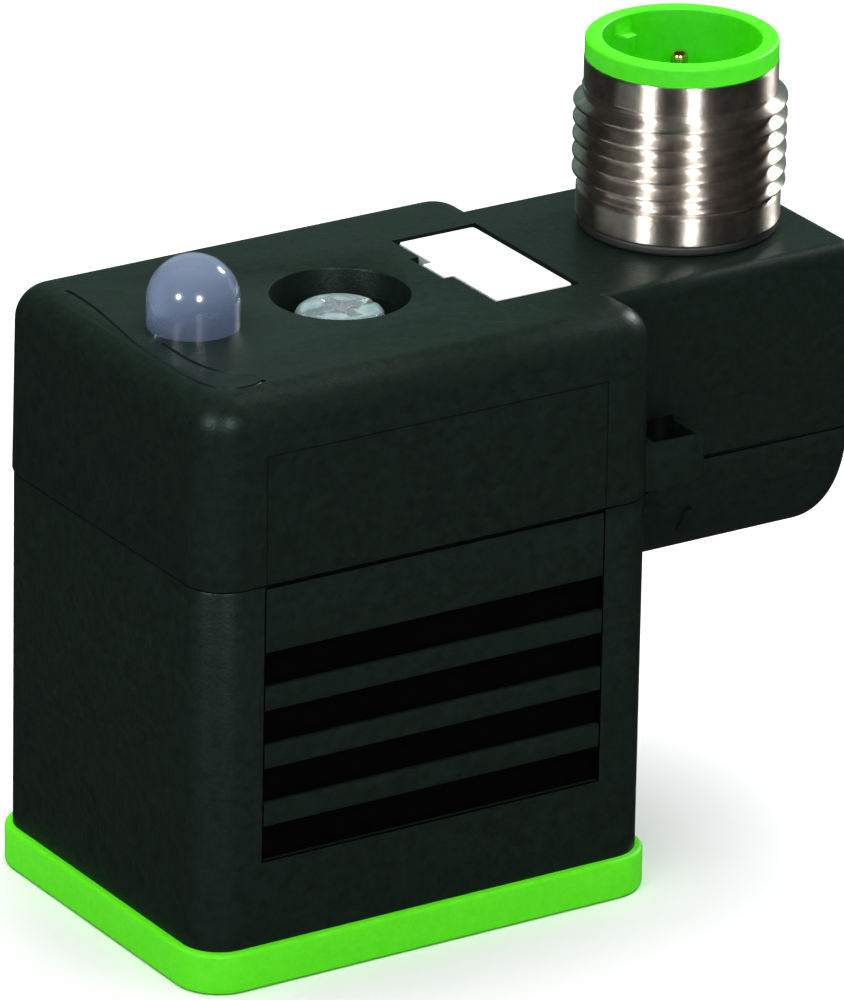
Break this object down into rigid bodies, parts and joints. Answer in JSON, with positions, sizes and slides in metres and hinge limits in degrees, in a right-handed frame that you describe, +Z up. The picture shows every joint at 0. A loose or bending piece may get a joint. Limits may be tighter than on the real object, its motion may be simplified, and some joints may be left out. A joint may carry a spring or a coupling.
{
  "type": "solenoid valve plug connector",
  "caption": "Right-angled plug connector for a solenoid valve coil, with an M12 connector, signal lamp, captive fixing screw and profile gasket.",
  "frame": {"origin": "centre of the sealing face, on the underside of the gasket", "axes": "+Z up, away from the valve coil; +X towards the arm with the M12 connector; -Y is a ribbed long side"},
  "size_m": [0.0449, 0.0232, 0.0458],
  "materials": {
    "housing_black": "moulded, fine texture",
    "gasket_green": "moulded, satin",
    "carrier_grey": "moulded",
    "board_green": "solder resist",
    "lamp_red": "clear tinted",
    "lens_clear": "clear, polished",
    "component_black": "moulded",
    "resistor_blue": "lacquered",
    "screw_zinc": "bright zinc plate",
    "seal_black": "moulded",
    "label_white": "satin",
    "sleeve_nickel": "nickel plated, turned",
    "insert_green": "moulded, satin",
    "contact_tin": "tin plated",
    "pin_gold": "gold plated",
    "wire_brown": "insulated",
    "wire_blue": "insulated",
    "wire_green": "insulated"
  },
  "bodies": {
    "housing": {"lower_housing": "housing_black", "upper_cover": "housing_black", "profile_gasket": "gasket_green", "contact_carrier": "carrier_grey", "circuit_board": "board_green", "led_lamp": "lamp_red", "led_lens": "lens_clear", "suppressor_diode": "component_black", "series_resistor": "resistor_blue", "m12_threaded_sleeve": "sleeve_nickel", "m12_sealing_ring": "seal_black", "m12_contact_carrier": "insert_green", "line_contact_1": "contact_tin", "line_contact_2": "contact_tin", "earth_contact": "contact_tin", "m12_pin_1": "pin_gold", "m12_pin_2": "pin_gold", "m12_pin_3": "pin_gold", "m12_pin_4": "pin_gold", "lead_wire_1": "wire_brown", "lead_wire_2": "wire_blue", "lead_wire_3": "wire_green"},
    "screw_ring": {"screw_retaining_ring": "seal_black"},
    "screw": {"fixing_screw": "screw_zinc"},
    "label": {"label_plate": "label_white"}
  },
  "joints": [
    {"name": "screw_travel", "type": "slide", "parent": "housing", "child": "screw_ring", "axis": [0, 0, 1], "range_m": [-0.007, 0]},
    {"name": "screw_turn", "type": "hinge", "parent": "screw_ring", "child": "screw", "pos_m": [0.00056, 0, 0.0317], "axis": [0, 0, 1], "continuous": true},
    {"name": "label_lift", "type": "slide", "parent": "housing", "child": "label", "axis": [0, 0, 1], "range_m": [0, 0.003]}
  ]
}
